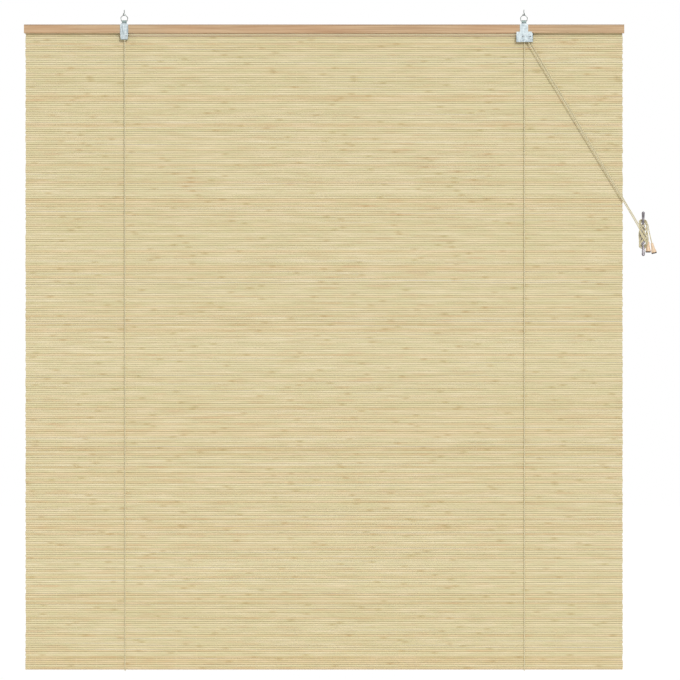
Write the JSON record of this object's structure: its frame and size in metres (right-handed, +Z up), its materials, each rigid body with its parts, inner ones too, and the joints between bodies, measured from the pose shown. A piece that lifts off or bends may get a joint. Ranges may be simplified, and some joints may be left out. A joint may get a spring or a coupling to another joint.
{
  "type": "roll up blind",
  "caption": "Split bamboo roll up blind on two screw hooks, with folded steel cord lock, pull cords, wall cleat and wooden tassels.",
  "frame": {"origin": "in the ceiling plane, midway between the two screw hooks' threads", "axes": "+X along the headrail towards the cord lock, -Y out into the room, +Z up; the window wall is at y = +35 mm"},
  "size_m": [1.5809, 0.048, 1.6546],
  "materials": {
    "softwood": "planed pale softwood, unvarnished",
    "bamboo": "split bamboo reeds, unvarnished",
    "braided cord": "braided natural cotton cord",
    "zinc plated steel": "pressed and folded, zinc plated",
    "steel wire": "drawn wire, zinc plated",
    "steel pins": "turned steel, bright",
    "steel roller": "straight knurled steel",
    "steel screws": "zinc plated pan head screws",
    "grey polymer": "moulded grey acetal",
    "die cast zinc": "die cast, grey lacquer",
    "turned wood": "turned pale wood, satin"
  },
  "bodies": {
    "blind": {"headrail": "softwood", "lower_batten": "softwood", "foot_batten": "softwood", "reed_mat": "bamboo", "mat_staples": "steel wire", "left_hanger": "zinc plated steel", "lock_housing": "zinc plated steel", "hanger_screws": "steel screws", "left_roller_pin": "steel pins", "lock_axle": "steel pins", "cord_guide_pin": "steel pins", "screw_hooks": "steel wire", "left_lift_cord": "braided cord", "right_lift_cord": "braided cord", "lift_cord_knots": "braided cord", "left_pull_cord": "braided cord", "right_pull_cord": "braided cord", "cleat": "die cast zinc", "cord_winding": "braided cord", "left_tassel_cord": "braided cord", "right_tassel_cord": "braided cord", "left_tassel": "turned wood", "right_tassel": "turned wood"},
    "left_ring": {"left_ring": "steel wire"},
    "right_ring": {"right_ring": "steel wire"},
    "left_roller": {"left_roller": "grey polymer"},
    "lock_pulley": {"lock_pulley": "grey polymer"},
    "lock_pin": {"lock_roller_pin": "steel pins"},
    "lock_roller": {"lock_roller": "steel roller"}
  },
  "joints": [
    {"name": "left_ring_rock", "type": "hinge", "parent": "blind", "child": "left_ring", "pos_m": [-0.4995, 0, -0.0215], "axis": [1, 0, 0], "range_deg": [-2, 2]},
    {"name": "right_ring_rock", "type": "hinge", "parent": "blind", "child": "right_ring", "pos_m": [0.4995, 0, -0.0215], "axis": [1, 0, 0], "range_deg": [-2, 2]},
    {"name": "left_roller_spin", "type": "hinge", "parent": "blind", "child": "left_roller", "pos_m": [-0.49455, 0, -0.0591], "axis": [0, 1, 0], "continuous": true},
    {"name": "lock_pulley_spin", "type": "hinge", "parent": "blind", "child": "lock_pulley", "pos_m": [0.497, 0, -0.06025], "axis": [0, 1, 0], "continuous": true},
    {"name": "lock_pin_slide", "type": "slide", "parent": "blind", "child": "lock_pin", "axis": [0.9397, 0, 0.342], "range_m": [0, 0.003]},
    {"name": "lock_roller_spin", "type": "hinge", "parent": "lock_pin", "child": "lock_roller", "pos_m": [0.51316, 0, -0.06105], "axis": [0, 1, 0], "continuous": true}
  ],
  "couplings": [
    {"joint": "lock_pulley_spin", "follows": "left_roller_spin", "ratio": 0.75}
  ]
}
